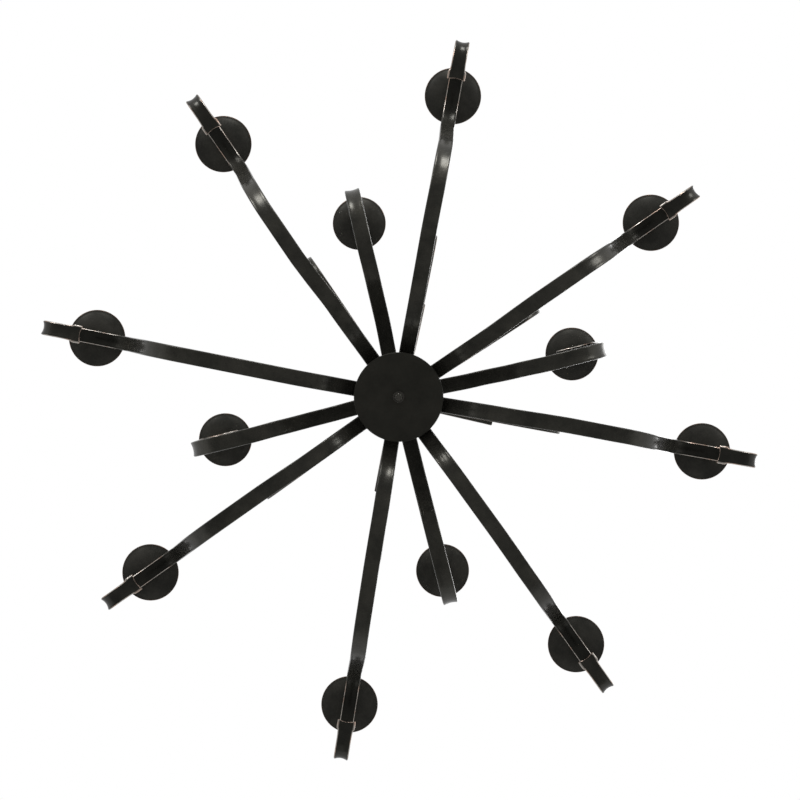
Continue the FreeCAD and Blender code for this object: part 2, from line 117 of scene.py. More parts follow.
def close_end(bm, edges, place, heading, thick, width):
    """Rounds a cut end over in three steps and closes it. The cut layer marks it."""
    cut_layer = bm.verts.layers.float["cut"]
    edge_layer = bm.verts.layers.float["edge"]
    turn = Matrix.Translation(place) @ Matrix.Rotation(-heading, 4, "Y")
    gone = 0.0
    for angle in (30.0, 60.0, 90.0):
        forward = END_ROUND * math.sin(math.radians(angle))
        inset = END_ROUND * (1 - math.cos(math.radians(angle)))
        edges = go_on(bm, edges)
        shrink = Matrix.Translation((forward - gone, 0, thick / 2))
        shrink = shrink @ Matrix.Diagonal((1, 1 - inset / width, 1 - inset / thick, 1))
        shrink = shrink @ Matrix.Translation((0, 0, -thick / 2))
        bmesh.ops.transform(bm, matrix=turn @ shrink @ turn.inverted(), verts=ring_verts(edges))
        for vert in ring_verts(edges):
            vert[cut_layer] = END_COPPER
            vert[edge_layer] = max(vert[edge_layer], END_WEAR)
        gone = forward
    bmesh.ops.edgeloop_fill(bm, edges=edges)


def bent_strap(name, start, base, runs, hollow, thick, lip, flared=False):
    """A strap bent in the XZ plane, as a mesh. A run is (length,), (radius, turn in degrees), or
    that with the factor by which the hollows are deeper at its end."""
    bm = bmesh.new()
    edge_layer = bm.verts.layers.float.new("edge")
    bm.verts.layers.float.new("cut")
    # a vertex layer for painted shade, which finish_strap fills in
    bm.verts.layers.float.new("painted_shade")
    place = Vector((start, 0, base))
    verts = []
    for across, up, wear in strap_outline(thick, hollow, lip):
        vert = bm.verts.new(place + Vector((0, across, up)))
        vert[edge_layer] = wear
        verts.append(vert)
    edges = [bm.edges.new((a, b)) for a, b in zip(verts, verts[1:] + verts[:1])]
    bmesh.ops.edgeloop_fill(bm, edges=edges)
    heading = 0.0
    for run in runs:
        if len(run) == 1:
            edges = go_on(bm, edges)
            bmesh.ops.translate(bm, vec=along(heading) * run[0], verts=ring_verts(edges))
            place = place + along(heading) * run[0]
            continue
        radius, turn = run[0], math.radians(run[1])
        side = math.copysign(1, turn)
        centre = place + along(heading + side * math.pi / 2) * radius
        steps = max(1, round(abs(turn) / BEND_STEP))
        spun = bmesh.ops.spin(
            bm, geom=ring_verts(edges) + edges, cent=centre, axis=(0, -1, 0), angle=turn, steps=steps,
            use_merge=False,
        )
        edges = [item for item in spun["geom_last"] if isinstance(item, bmesh.types.BMEdge)]
        heading += turn
        place = centre - along(heading + side * math.pi / 2) * radius
        if len(run) == 3:
            deepen(edges, place, heading, thick, run[2])
    width = STRAP_WIDTH
    if flared:
        for degrees, wider in VOLUTE_STEPS:
            turn = math.radians(degrees)
            centre = place - along(heading + math.pi / 2) * VOLUTE_RADIUS
            edges = go_on(bm, edges)
            step = Matrix.Translation(centre) @ Matrix.Rotation(-turn, 4, "Y")
            step = step @ Matrix.Diagonal((1, wider / width, 1, 1)) @ Matrix.Translation(-centre)
            bmesh.ops.transform(bm, matrix=step, verts=ring_verts(edges))
            heading += turn
            place = centre + along(heading + math.pi / 2) * VOLUTE_RADIUS
            width = wider
            for vert in ring_verts(edges):
                if abs(vert.co.y) > width * EAR_SHARE and width > STRAP_WIDTH + EAR_SWELL:
                    vert[edge_layer] = max(vert[edge_layer], EAR_WEAR)
        for vert in ring_verts(edges):
            vert.co += along(heading) * FISHTAIL * (2 * vert.co.y / width) ** 2
    close_end(bm, edges, place, heading, thick, width)
    bmesh.ops.recalc_face_normals(bm, faces=bm.faces[:])
    for face in bm.faces:
        face.smooth = True
    mesh = bpy.data.meshes.new(name)
    bm.to_mesh(mesh)
    bm.free()
    return mesh


def add_piece(name, mesh, material, body="fixture", nodes=()):
    """Links a finished mesh as a piece of the chandelier."""
    piece = bpy.data.objects.new(name, mesh)
    bpy.context.scene.collection.objects.link(piece)
    mesh.materials.append(material)
    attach(piece, body)
    if nodes:
        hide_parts(*nodes)
    return piece


def new_material(name):
    """A material, with its nodes, its links and its shader."""
    material = bpy.data.materials.new(name)
    material.use_nodes = True
    tree = material.node_tree
    return material, tree.nodes, tree.links, tree.nodes["Principled BSDF"]


def noise(nodes, links, scale, detail, roughness=0.55):
    """Noise on Object coordinates, whose scale is per metre."""
    where = nodes.get("Texture Coordinate") or nodes.new("ShaderNodeTexCoord")
    texture = nodes.new("ShaderNodeTexNoise")
    texture.inputs["Scale"].default_value = scale
    texture.inputs["Detail"].default_value = detail
    texture.inputs["Roughness"].default_value = roughness
    links.new(where.outputs["Object"], texture.inputs["Vector"])
    return texture.outputs["Fac"]


def ramp(nodes, links, source, stops):
    """Colour ramp through (position, colour) stops."""
    node = nodes.new("ShaderNodeValToRGB")
    links.new(source, node.inputs["Fac"])
    elements = node.color_ramp.elements
    while len(elements) < len(stops):
        elements.new(0.5)
    for element, (position, colour) in zip(elements, stops):
        element.position = position
        element.color = (*colour, 1.0)
    return node.outputs["Color"]


def remap(nodes, links, source, low, high, to_low, to_high):
    """Maps one range on to another and holds the value at its ends."""
    node = nodes.new("ShaderNodeMapRange")
    links.new(source, node.inputs["Value"])
    for key, value in zip(("From Min", "From Max", "To Min", "To Max"), (low, high, to_low, to_high)):
        node.inputs[key].default_value = value
    return node.outputs["Result"]


SKIN_TINT = (0.4, 0.4, 0.4, 1.0)
SKIN_GLOSS = 0.24
SKIN_METAL = 0.38             # how metallic the skin is
# Painted shade: near black for the shadow that each scroll's end casts on its crook and curl
PAINTED_SHADE_BLACK = (0.004, 0.004, 0.0035, 1.0)
PAINTED_SHADE_MOST = 0.62              # share of painted shade where it is darkest
RAGGED = 0.1                  # how unevenly the edge wear begins
WORN_FROM = 0.72              # edge wear at which bare metal begins to show, and at which it is all bare
WORN_TO = 1.02
PATCH_MOST = 0.6              # share of copper in the reddest patches
BARE_ROUGH = 0.3
HAMMERED = 0.04               # strength of the skin's fine unevenness
HAMMER_DEPTH = 0.4 * MM


def oiled_bronze(name, dark, brown, bare, copper, rough):
    """Bronze under a near-black oil-rubbed skin, which is worn through to bare metal along the edges,
    redder in patches and at the cut ends. Painted shade, from a vertex layer, darkens the skin in the
    crooks of the scrolls."""
    material, nodes, links, shader = new_material(name)
    shader.inputs["Specular Tint"].default_value = SKIN_TINT
    shader.inputs["Specular IOR Level"].default_value = SKIN_GLOSS
    fine = noise(nodes, links, 420.0, 4.0)
    skin = ramp(nodes, links, noise(nodes, links, 34.0, 7.0, 0.68), [(0.36, dark), (0.66, brown)])
    # Painted shade: a vertex layer mixes near black into the skin, for the shadow the scroll's end casts on
    # the strap
    painted_shade = nodes.new("ShaderNodeAttribute")
    painted_shade.attribute_name = "painted_shade"
    painted_shade_mix = nodes.new("ShaderNodeMix")
    painted_shade_mix.data_type = "RGBA"
    links.new(remap(nodes, links, painted_shade.outputs["Fac"], 0.0, 1.0, 0.0, PAINTED_SHADE_MOST), painted_shade_mix.inputs["Factor"])
    links.new(skin, painted_shade_mix.inputs["A"])
    painted_shade_mix.inputs["B"].default_value = PAINTED_SHADE_BLACK
    edge = nodes.new("ShaderNodeAttribute")
    edge.attribute_name = "edge"
    cut = nodes.new("ShaderNodeAttribute")
    cut.attribute_name = "cut"
    ragged = remap(nodes, links, noise(nodes, links, 160.0, 6.0, 0.7), 0.3, 0.7, -RAGGED, RAGGED)
    worn = nodes.new("ShaderNodeMath")
    worn.operation = "ADD"
    links.new(edge.outputs["Fac"], worn.inputs[0])
    links.new(ragged, worn.inputs[1])
    wear = remap(nodes, links, worn.outputs["Value"], WORN_FROM, WORN_TO, 0.0, 1.0)
    patch = remap(nodes, links, noise(nodes, links, 70.0, 5.0, 0.6), 0.5, 0.62, 0.0, PATCH_MOST)
    redder = nodes.new("ShaderNodeMath")
    redder.operation = "MAXIMUM"
    links.new(patch, redder.inputs[0])
    links.new(cut.outputs["Fac"], redder.inputs[1])
    metal = nodes.new("ShaderNodeMix")
    metal.data_type = "RGBA"
    links.new(redder.outputs["Value"], metal.inputs["Factor"])
    metal.inputs["A"].default_value = (*bare, 1.0)
    metal.inputs["B"].default_value = (*copper, 1.0)
    colour = nodes.new("ShaderNodeMix")
    colour.data_type = "RGBA"
    links.new(wear, colour.inputs["Factor"])
    links.new(painted_shade_mix.outputs["Result"], colour.inputs["A"])
    links.new(metal.outputs["Result"], colour.inputs["B"])
    links.new(colour.outputs["Result"], shader.inputs["Base Color"])
    links.new(remap(nodes, links, wear, 0.0, 1.0, SKIN_METAL, 1.0), shader.inputs["Metallic"])
    skin_rough = remap(nodes, links, fine, 0.3, 0.7, rough - 0.04, rough + 0.08)
    roughness = nodes.new("ShaderNodeMix")
    links.new(wear, roughness.inputs["Factor"])
    links.new(skin_rough, roughness.inputs["A"])
    roughness.inputs["B"].default_value = BARE_ROUGH
    links.new(roughness.outputs["Result"], shader.inputs["Roughness"])
    bump = nodes.new("ShaderNodeBump")
    bump.inputs["Strength"].default_value = HAMMERED
    bump.inputs["Distance"].default_value = HAMMER_DEPTH
    links.new(noise(nodes, links, 150.0, 3.0), bump.inputs["Height"])
    links.new(bump.outputs["Normal"], shader.inputs["Normal"])
    return material


STRAP_BRONZE = oiled_bronze(
    "Strap bronze", (0.0330, 0.0324, 0.0278), (0.0600, 0.0574, 0.0484), (0.42, 0.39, 0.355),
    (0.44, 0.27, 0.19), 0.22,
)


def heading_of(node):
    """Direction in which a lamp stands from the centre, in radians."""
    low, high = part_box(node)
    return math.atan2(low[1] + high[1], low[0] + high[0])


def reach_of(node):
    """How far out a lamp stands."""
    low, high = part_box(node)
    return math.hypot(low[0] + high[0], low[1] + high[1]) / 2


def smooth(value, low, high):
    """0 below the low value, 1 above the high one, and an eased step between them."""
    share = min(max((value - low) / (high - low), 0.0), 1.0)
    return share * share * (3 - 2 * share)


CROOK_FROM = 38.0 * MM        # the crook begins between these two distances inside the crest
CROOK_TO = 22.0 * MM
CROOK_FOOT = 190.0 * MM       # and between these two depths below the top of the riser
CROOK_TOP = 130.0 * MM
EDGE_LEAST = 0.78             # factor of the edge wear along a strap, and what the crook adds
EDGE_MORE = 0.9


def finish_strap(mesh, bow, foot, top, crest_x):
    """Bows a strap sideways through (how far out, sideways) points, less and less from the foot of its
    riser to the top, and paints shade into the crook under the lamp, half as dark down the curl, where the
    edges are worn most."""
    edge = mesh.attributes["edge"].data
    painted_shade = mesh.attributes["painted_shade"].data
    for i, vert in enumerate(mesh.vertices):
        reach, up = vert.co.x, vert.co.z
        for (near, before), (far, after) in zip(bow, bow[1:]):
            if near <= reach < far:
                sideways = before + (after - before) * smooth(reach, near, far)
                vert.co.y += sideways * (1 - smooth(up, foot, top))
        in_crook = smooth(reach, crest_x - CROOK_FROM, crest_x - CROOK_TO)
        in_crook *= smooth(up, top - CROOK_FOOT, top - CROOK_TOP)
        # Painted shade for the scroll's shadow: full in the crook, half as dark lower down on the curl
        painted_shade[i].value = in_crook * (1.0 - 0.5 * smooth(top - up, 30 * MM, 70 * MM))
        edge[i].value = min(edge[i].value * (EDGE_LEAST + EDGE_MORE * in_crook), 1.0)


OUTER_BOWS = [                # sideways bend of each strap in mm, at the four distances
    (-0.9, -2.2, -1.6, -0.1), (-1.2, -1.5, -0.7, -0.1), (-0.6, -0.1, -0.4, -1.3), (-0.5, 0.9, 0.9, 0.3),
    (-1.1, -1.0, -0.9, -0.3), (-1.6, -5.0, -4.6, -1.9), (0.6, 0.5, 1.4, 2.0), (1.1, -0.2, 0.0, 0.9),
]
OUTER_BOW_AT = [133.0 * MM, 205.0 * MM, 272.0 * MM, 345.0 * MM]
OUTER_BOW_END = 15.0 * MM     # a bow has gone this far inside the crest
BOW_START = 44.0 * MM         # where the tongue ends and the strap can bow
OUTER_RISER_FOOT = -660.0 * MM
OUTER_RISER_TOP = -460.0 * MM
for i in range(1, 9):
    reach = reach_of(f"drip_pan_outer_{i}")
    stretch = (reach - OUTER_CREST) / BELLY_SPREAD
    runs = [                      # down out of the hub, belly, elbow, riser, crest and scroll
        (TONGUE_LENGTH,),
        (14.0 * MM, -60.0),
        (45.4 * MM,),
        (85.0 * MM, 55.0),
        (OUTER_BELLY_RADIUS + stretch, 13.0),
        (110.0 * MM, 70.0),
        (175.0 * MM,),
        (50.0 * MM, -78.0),
        (57.5 * MM, -30.0, DEEPER),
        (57.5 * MM, -30.0, DEEPER),
        (57.5 * MM, -30.0, DEEPER),
        (26.0 * MM, -90.0),
    ]
    mesh = bent_strap(
        "outer_strap", TONGUE_START, OUTER_TONGUE_Z, runs, STRAP_HOLLOW, STRAP_THICK, STRAP_LIP, True,
    )
    bow = [(BOW_START, 0.0)] + [(x, bend * MM) for x, bend in zip(OUTER_BOW_AT, OUTER_BOWS[i - 1])]
    bow.append((reach - OUTER_BOW_END, 0.0))
    finish_strap(mesh, bow, OUTER_RISER_FOOT, OUTER_RISER_TOP, reach)
    mesh.transform(Matrix.Rotation(heading_of(f"drip_pan_outer_{i}"), 4, "Z"))
    add_piece(f"outer_strap_{i}", mesh, STRAP_BRONZE, nodes=[f"outer_arm_{i}"])

# ---- Inner arms -------------------------------------------------------------------------------
# Four bars of the same hollow strap, clamped above the outer ones. They fall under the hub, rise
# almost plumb between the outer arms, arch inwards under the lamp and end in a tight curl.
INNER_TONGUE_Z = -644.0 * MM
INNER_RUNS = [
    (TONGUE_LENGTH,),
    (123.0 * MM, -50.0),
    (78.0 * MM, 50.0),
    (69.0 * MM, 86.9),
    (364.0 * MM,),
    (30.5 * MM, 93.1),
    (24.0 * MM, 90.0),
    (15.0 * MM, 110.0),
]
inner_mesh = bent_strap(
    "inner_strap", TONGUE_START, INNER_TONGUE_Z, INNER_RUNS, STRAP_HOLLOW, STRAP_THICK, STRAP_LIP,
)
INNER_BOWS = [                # sideways bend in mm at the four distances
    (0.2, 0.1, 0.0, 0.0), (-1.2, -2.0, -3.0, -3.0), (1.4, 1.1, 0.4, 0.4), (2.1, 3.8, 5.0, 5.0),
]
INNER_BOW_AT = [99.0 * MM, 149.0 * MM, 192.0 * MM, 300.0 * MM]
INNER_RISER_FOOT = -690.0 * MM
INNER_RISER_TOP = -270.0 * MM
for i in range(1, 5):
    mesh = inner_mesh.copy()
    bow = [(BOW_START, 0.0)] + [(x, bend * MM) for x, bend in zip(INNER_BOW_AT, INNER_BOWS[i - 1])]
    finish_strap(mesh, bow, INNER_RISER_FOOT, INNER_RISER_TOP, reach_of(f"drip_pan_inner_{i}"))
    mesh.transform(Matrix.Rotation(heading_of(f"drip_pan_inner_{i}"), 4, "Z"))
    add_piece(f"inner_strap_{i}", mesh, STRAP_BRONZE, nodes=[f"inner_arm_{i}"])

# ---- Crown scrolls ----------------------------------------------------------------------------
# Eight lighter straps of plain section with softened edges: an open C below, a stem held to the
# column by two bands and twisted a little about it, and a top that leans outwards like a crown.
CROWN_THICK = 4.0 * MM
CROWN_START = 131.0 * MM
CROWN_Z = -486.0 * MM
TWIST_FROM = -476.0 * MM
TWIST_TO = -260.0 * MM
TWIST_STEPS = 12
CROWN_RUNS = [
    (40.0 * MM,),
    (42.0 * MM, -90.0),
    (50.0 * MM, -90.0),
    (72.0 * MM,),
    (60.0 * MM, -90.0),
    (42.0 * MM,),
]
CROWN_RUNS += [((TWIST_TO - TWIST_FROM) / TWIST_STEPS,)] * TWIST_STEPS
CROWN_RUNS.append((152.0 * MM, -75.0))
CROWN_LEAN = [0.3, -0.9, -1.1, -0.1, 0.9, -0.2, 0.8, 0.7]        # degrees off the even eighths
CROWN_TWIST = [2.8, 0.3, 2.1, 0.6, 0.4, 0.5, 1.5, -0.8]          # degrees of the stem about the column
CROWN_SWING = [0.25, 0.0, 0.0, -0.4, 0.0, 0.75, 0.45, 0.95]      # degrees of the C about the column
SWING_FROM = 60.0 * MM        # the C swings more and more between these two distances
SWING_TO = 120.0 * MM
CROWN_EDGE = 1.4 * MM         # softening of a crown scroll's edges
crown_mesh = bent_strap("crown_strap", CROWN_START, CROWN_Z, CROWN_RUNS, 0.0, CROWN_THICK, CROWN_EDGE)
for i in range(8):
    mesh = crown_mesh.copy()
    for vert in mesh.vertices:
        share = min(max((vert.co.z - TWIST_FROM) / (TWIST_TO - TWIST_FROM), 0.0), 1.0)
        swing = CROWN_SWING[i] * smooth(vert.co.x, SWING_FROM, SWING_TO) * (vert.co.z < TWIST_FROM)
        vert.co.rotate(Matrix.Rotation(math.radians(CROWN_TWIST[i] * share + swing), 3, "Z"))
    mesh.transform(Matrix.Rotation(math.radians(45 * i + CROWN_LEAN[i]), 4, "Z"))
    add_piece(f"crown_strap_{i + 1}", mesh, STRAP_BRONZE, nodes=[f"crown_scroll_{i + 1}"])

# ---- Drip pans --------------------------------------------------------------------------------
# Twelve shallow dishes spun from sheet, convex below, with a rolled rim that is rubbed to copper
# and a raised collar that holds the foot of the candle sleeve.
PAN_BRONZE = oiled_bronze(
    "Pan bronze", (0.0290, 0.0285, 0.0250), (0.0520, 0.0500, 0.0435), (0.26, 0.15, 0.095),
    (0.32, 0.13, 0.065), 0.35,
)
PAN_RADIUS = 38.0 * MM
PAN_DEPTH = 11.0 * MM
PAN_FLOOR = 14.0 * MM
PAN_WALL = 1.2 * MM
PAN_RIM = 1.1 * MM
PAN_HOLE = 5.05 * MM
PAN_COLLAR_RADIUS = 13.6 * MM
PAN_COLLAR_HEIGHT = 9.0 * MM
PAN_COLLAR_BORE = 12.15 * MM
PAN_FILLET = 1.5 * MM         # where the dish turns up into the collar
PAN_CURVE = 1.7               # power by which the dish steepens outwards
PAN_STEPS = 8


def spun_piece(name, outline, steps=96, closed=True):
    """A solid spun about Z from an outline of (radius, height, edge wear) points."""
    bm = bmesh.new()
    edge_layer = bm.verts.layers.float.new("edge")
    verts = []
    for radius, height, wear in outline:
        vert = bm.verts.new((radius, 0, height))
        vert[edge_layer] = wear
        verts.append(vert)
    ends = verts[1:] + verts[:1] if closed else verts[1:]
    edges = [bm.edges.new((a, b)) for a, b in zip(verts, ends)]
    bmesh.ops.spin(
        bm, geom=verts + edges, cent=(0, 0, 0), axis=(0, 0, 1), angle=2 * math.pi, steps=steps,
        use_merge=True,
    )
    bmesh.ops.remove_doubles(bm, verts=bm.verts[:], dist=1e-6)
    bmesh.ops.recalc_face_normals(bm, faces=bm.faces[:])
    for face in bm.faces:
        face.smooth = True
    mesh = bpy.data.meshes.new(name)
    bm.to_mesh(mesh)
    bm.free()
    mesh.set_sharp_from_angle(angle=math.radians(38))
    return mesh


def round_points(centre_radius, centre_height, radius, start, end, steps, wear):
    """Points of an arc in an outline, angles in degrees from straight outwards."""
    points = []
    for i in range(steps + 1):
        angle = math.radians(start + (end - start) * i / steps)
        reach = centre_radius + radius * math.cos(angle)
        points.append((reach, centre_height + radius * math.sin(angle), wear))
    return points


def pan_outline():
    """Underside out to the rolled rim, back over the dish, up the collar and down inside it."""
    rise = PAN_DEPTH - 2 * PAN_RIM
    outline = [(PAN_HOLE, 0, 0.0)]
    for i in range(PAN_STEPS + 1):
        share = i / PAN_STEPS
        reach = PAN_FLOOR + (PAN_RADIUS - PAN_RIM - PAN_FLOOR) * share
        outline.append((reach, rise * share ** PAN_CURVE, 0.0))
    outline += round_points(PAN_RADIUS - PAN_RIM, PAN_DEPTH - PAN_RIM, PAN_RIM, -75, 165, 10, 0.8)
    inside = PAN_COLLAR_RADIUS + PAN_FILLET
    for i in range(PAN_STEPS, -1, -1):
        share = i / PAN_STEPS
        reach = inside + (PAN_RADIUS - 2 * PAN_RIM - inside) * share
        outline.append((reach, PAN_WALL + rise * share ** PAN_CURVE, 0.0))
    outline.append((PAN_COLLAR_RADIUS, PAN_WALL + PAN_FILLET, 0.0))
    outline.append((PAN_COLLAR_RADIUS, PAN_COLLAR_HEIGHT - PAN_FILLET, 0.0))
    outline += round_points(PAN_COLLAR_RADIUS - 0.1 * MM, PAN_COLLAR_HEIGHT, 0.9 * MM, -60, 180, 6, 0.9)
    outline.append((PAN_COLLAR_BORE, PAN_WALL, 0.0))
    outline.append((PAN_HOLE, PAN_WALL, 0.0))
    return outline


pan_mesh = spun_piece("drip_pan", pan_outline())
LAMPS = [f"outer_{i}" for i in range(1, 9)] + [f"inner_{i}" for i in range(1, 5)]


def lamp_foot(lamp):
    """Centre of a lamp's pan, at the height of its underside."""
    low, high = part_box(f"drip_pan_{lamp}")
    return Vector(((low[0] + high[0]) / 2, (low[1] + high[1]) / 2, low[2]))


for lamp in LAMPS:
    mesh = pan_mesh.copy()
    mesh.transform(Matrix.Translation(lamp_foot(lamp)))
    add_piece(f"pan_{lamp}", mesh, PAN_BRONZE, nodes=[f"drip_pan_{lamp}"])

# ---- Candle sleeves ---------------------------------------------------------------------------
# Ivory resin tubes that stand in the pans' collars and hide the sockets. The mouth is eased, and
# the resin is faintly mottled, with a slight grain.
SLEEVE_RADIUS = 12.0 * MM
SLEEVE_BORE = 10.6 * MM
SLEEVE_LENGTH = 96.0 * MM
SLEEVE_FLOOR = 1.4 * MM
SLEEVE_GRAIN = 0.5 * MM


def mottled_material(name, scale, detail, dark, pale):
    """A material of two close colours, mottled by noise."""
    material, nodes, links, shader = new_material(name)
    tone = ramp(nodes, links, noise(nodes, links, scale, detail), [(0.3, dark), (0.7, pale)])
    links.new(tone, shader.inputs["Base Color"])
    return material, nodes, links, shader


sleeve_resin, nodes, links, shader = mottled_material(
    "Sleeve resin", 60.0, 4.0, (0.80, 0.73, 0.58), (0.86, 0.81, 0.69),
)
shader.inputs["Roughness"].default_value = 0.52
shader.inputs["Subsurface Weight"].default_value = 0.12
shader.inputs["Subsurface Radius"].default_value = (0.006, 0.004, 0.002)
bump = nodes.new("ShaderNodeBump")
bump.inputs["Strength"].default_value = 0.1
bump.inputs["Distance"].default_value = SLEEVE_GRAIN
links.new(noise(nodes, links, 240.0, 3.0), bump.inputs["Height"])
links.new(bump.outputs["Normal"], shader.inputs["Normal"])
sleeve_top = SLEEVE_FLOOR + SLEEVE_LENGTH
sleeve_mid = (SLEEVE_RADIUS + SLEEVE_BORE) / 2
sleeve_half = (SLEEVE_RADIUS - SLEEVE_BORE) / 2
sleeve_outline = [(SLEEVE_BORE, SLEEVE_FLOOR, 0.0), (SLEEVE_RADIUS, SLEEVE_FLOOR, 0.0)]
sleeve_outline += round_points(sleeve_mid, sleeve_top - sleeve_half, sleeve_half, 0, 180, 6, 0.0)
sleeve_mesh = spun_piece("sleeve", sleeve_outline, 48)
for number, lamp in enumerate(LAMPS):
    mesh = sleeve_mesh.copy()
    mesh.transform(Matrix.Translation(lamp_foot(lamp)))
    covers = ["candle_sleeves"] if number == 0 else []
    add_piece(f"sleeve_{lamp}", mesh, sleeve_resin, nodes=covers)

# ---- Bulbs ------------------------------------------------------------------------------------
# Clear candle bulbs: a thin blown envelope drawn to a tip, two upright coated filaments over a short
# stem, and a rolled brass screw base. Each one rides on its own body, because it screws out.
BULB_SEAT = 71.7 * MM         # foot of the screw base above the pan's underside
BASE_LENGTH = 24.0 * MM
BASE_RADIUS = 6.0 * MM
NECK_RADIUS = 7.4 * MM
BELLY_HEIGHT = 26.0 * MM
BELLY_RADIUS = 17.0 * MM
BULB_LENGTH = 88.0 * MM
GLASS_WALL = 0.8 * MM
TIP_WALL = 2.5 * MM           # the glass is thickest where the tip was drawn off
THREAD_RIDGES = 6
THREAD_PITCH = 2.4 * MM
THREAD_SWELL = 0.45 * MM
FILAMENT_RODS = [             # (sideways, radius, foot, top) in mm: the stem, then the two filaments
    (0, 1.6, 0.5, 14.0), (4.0, 0.7, 14.0, 52.0), (-4.0, 0.7, 14.0, 52.0),
]


def vary_roughness(nodes, links, shader, scale, detail, low, high):
    """Roughness that noise varies between two limits."""
    varied = remap(nodes, links, noise(nodes, links, scale, detail), 0.3, 0.7, low, high)
    links.new(varied, shader.inputs["Roughness"])


glass, nodes, links, shader = mottled_material(
    "Bulb glass", 40.0, 2.0, (0.95, 0.95, 0.94), (0.99, 0.99, 0.985),
)
shader.inputs["Transmission Weight"].default_value = 1.0
shader.inputs["IOR"].default_value = 1.45
vary_roughness(nodes, links, shader, 90.0, 2.0, 0.01, 0.05)
brass, nodes, links, shader = mottled_material(
    "Base brass", 180.0, 3.0, (0.62, 0.44, 0.18), (0.78, 0.60, 0.30),
)
shader.inputs["Metallic"].default_value = 1.0
vary_roughness(nodes, links, shader, 500.0, 3.0, 0.22, 0.38)
filament, nodes, links, shader = mottled_material(
    "Filament coat", 300.0, 2.0, (0.80, 0.52, 0.12), (0.90, 0.66, 0.24),
)
shader.inputs["Roughness"].default_value = 0.6


def envelope_radius(height, wall):
    """Radius of the blown envelope at a height above the base: neck, belly and drawn tip."""
    if height < BELLY_HEIGHT:
        share = math.sin(math.pi / 2 * height / BELLY_HEIGHT) ** 1.3
        return NECK_RADIUS + (BELLY_RADIUS - NECK_RADIUS) * share - wall
    share = (height - BELLY_HEIGHT) / (BULB_LENGTH - BELLY_HEIGHT)
    return max(BELLY_RADIUS * (1 - share ** 1.5) * (1 - 0.22 * share) - wall, 0.0)


def envelope_outline():
    """Up the outside of the glass from the neck to the tip, and down the inside."""
    steps = 30
    outer = []
    for i in range(steps + 1):
        height = BULB_LENGTH * (1 - (1 - i / steps) ** 1.25)
        outer.append((envelope_radius(height, 0.0), BASE_LENGTH + height, 0.0))
    inner = []
    for i in range(steps, -1, -1):
        height = (BULB_LENGTH - TIP_WALL) * (1 - (1 - i / steps) ** 1.25)
        inner.append((envelope_radius(height, GLASS_WALL), BASE_LENGTH + height, 0.0))
    return outer + inner


def base_outline():
    """Contact button, insulator, then a screw shell whose thread is shown as close rounded ridges."""
    outline = [(0, 0, 0.0), (2.2 * MM, 0.0, 0.0), (2.6 * MM, 0.8 * MM, 0.0), (4.4 * MM, 1.6 * MM, 0.0)]
    for i in range(THREAD_RIDGES * 4 + 1):
        swell = THREAD_SWELL * math.cos(2 * math.pi * i / 4)
        outline.append((BASE_RADIUS - THREAD_SWELL + swell, 2.6 * MM + THREAD_PITCH * i / 4, 0.0))
    outline.append((BASE_RADIUS - 0.3 * MM, BASE_LENGTH - 5.0 * MM, 0.0))
    outline.append((NECK_RADIUS - 0.1 * MM, BASE_LENGTH + 0.8 * MM, 0.0))
    outline.append((0, BASE_LENGTH + 0.8 * MM, 0.0))
    return outline


def filament_rods():
    """The stem and the two upright coated filaments, as one mesh with eased ends."""
    bm = bmesh.new()
    for x, radius, foot, top in FILAMENT_RODS:
        length = (top - foot) * MM
        middle = BASE_LENGTH + (top + foot) / 2 * MM
        place = Matrix.Translation((x * MM, 0, middle))
        made = bmesh.ops.create_cone(
            bm, cap_ends=True, segments=12, radius1=radius * MM, radius2=radius * MM * 0.9, depth=length,
            matrix=place,
        )
        rims = {edge for vert in made["verts"] for edge in vert.link_edges if len(edge.link_faces) == 2}
        rims = [edge for edge in rims if any(len(face.verts) > 4 for face in edge.link_faces)]
        bmesh.ops.bevel(
            bm, geom=rims, offset=radius * MM * 0.35, segments=2, profile=0.5, affect="EDGES", material=-1,
        )
    for face in bm.faces:
        face.smooth = True
    mesh = bpy.data.meshes.new("filament")
    bm.to_mesh(mesh)
    bm.free()
    return mesh


envelope_mesh = spun_piece("envelope", envelope_outline(), 48)
base_mesh = spun_piece("screw_base", base_outline(), 40, closed=False)
rods_mesh = filament_rods()
for lamp in LAMPS:
    seat = Matrix.Translation(lamp_foot(lamp) + Vector((0, 0, BULB_SEAT)))
    body = f"bulb_{lamp}_body"
    for name, source, material, slot, covers in (
        ("envelope", envelope_mesh, glass, "bulb_glass", [f"bulb_{lamp}"]),
        ("screw_base", base_mesh, brass, "nipple_brass", []),
        ("filament", rods_mesh, filament, "nipple_brass", []),
    ):
        mesh = source.copy()
        mesh.transform(seat)
        add_piece(f"{name}_{lamp}", mesh, material, body, covers)

# ---- Hub --------------------------------------------------------------------------------------
# A flat disc with a rounded rim closes the hub from below, held by a small ball finial screwed into
# the centre tube. Above it a spun cup, two clamping plates and a drum grip the arms' flat tongues.
HUB_BRONZE = oiled_bronze(
    "Hub bronze", (0.0260, 0.0252, 0.0210), (0.0370, 0.0354, 0.0295), (0.30, 0.20, 0.14),
    (0.38, 0.16, 0.08), 0.46,
)
PLATE_RADIUS = 55.0 * MM
PLATE_ROUND = 1.3 * MM
TUBE_HOLE = 6.6 * MM
low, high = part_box("bottom_plate")
plate_outline = [             # the face is pressed in very slightly between the finial and the rim
    (TUBE_HOLE, low[2], 0.0),
    (TUBE_HOLE + 2 * MM, low[2], 0.0),
    (24 * MM, low[2] + 0.25 * MM, 0.0),
    (40 * MM, low[2] + 0.1 * MM, 0.0),
    (PLATE_RADIUS - 5 * MM, low[2], 0.0),
]
rim_height = low[2] + PLATE_ROUND
